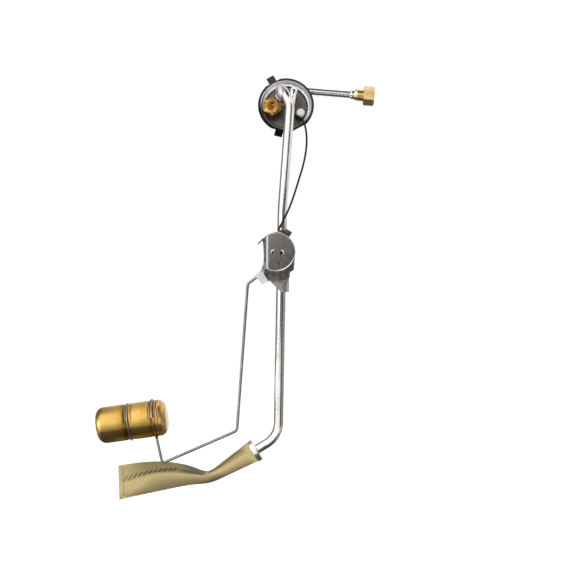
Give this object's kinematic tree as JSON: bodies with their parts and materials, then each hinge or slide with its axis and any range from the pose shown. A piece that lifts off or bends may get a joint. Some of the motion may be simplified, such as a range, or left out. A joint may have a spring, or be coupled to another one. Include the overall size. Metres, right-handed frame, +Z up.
{
  "type": "fuel level sender",
  "caption": "Float type fuel level sender with a dished mounting flange, a long bent pickup tube with strainer sock, and a pivoting arm with brass float.",
  "frame": {"origin": "middle of the flange's seat, on the lip's tank side plane", "axes": "+Z up along the pickup tube, -Y into the tank as seen in the picture, +X towards the outlet fitting; the flange leans 10 degrees"},
  "size_m": [0.2798, 0.094, 0.4276],
  "materials": {
    "tin_plate": "worn bright plated sheet",
    "dull_plate": "satin warm grey plated sheet",
    "tube_steel": "bright polished plated tube",
    "rod_steel": "bright plated wire",
    "float_brass": "satin spun brass",
    "fitting_brass": "machined brass",
    "vent_brass": "warm machined brass",
    "sock_weave": "khaki fine woven mesh",
    "lead_jacket": "black matt insulation",
    "insulator_white": "white moulded",
    "insulator_dark": "dark fibre",
    "contact_brass": "dull contact metal"
  },
  "bodies": {
    "sender_frame": {"mounting_flange": "tin_plate", "tube_boss": "tin_plate", "pickup_tube": "tube_steel", "tube_brace": "tube_steel", "outlet_tube": "tube_steel", "outlet_ferrule": "tube_steel", "outlet_fitting": "fitting_brass", "vent_fitting": "vent_brass", "vent_nut": "vent_brass", "inner_insulator": "insulator_white", "terminal_cap": "insulator_white", "outer_insulator": "insulator_dark", "terminal_washer": "tin_plate", "terminal_nut": "fitting_brass", "terminal_stud": "fitting_brass", "lead_lug": "contact_brass", "lead_wire": "lead_jacket", "lead_sleeve": "lead_jacket", "post_insulator": "insulator_dark", "terminal_post": "contact_brass", "lead_eyelet": "contact_brass", "sender_cover": "dull_plate", "sender_backplate": "dull_plate", "resistor_former": "insulator_dark", "resistor_winding": "contact_brass", "pivot_pin": "rod_steel", "sock_collar": "tube_steel", "sock": "sock_weave"},
    "float_arm": {"pivot_bushing": "contact_brass", "lever": "dull_plate", "wiper_arm": "contact_brass", "wiper_contact": "contact_brass", "float_rod": "rod_steel", "float": "float_brass", "float_clip": "rod_steel"}
  },
  "joints": [
    {"name": "float_arm_pivot", "type": "hinge", "parent": "sender_frame", "child": "float_arm", "pos_m": [-0.01007, -0.03401, -0.1506], "axis": [0, 1, 0], "range_deg": [0, 68.5]}
  ]
}
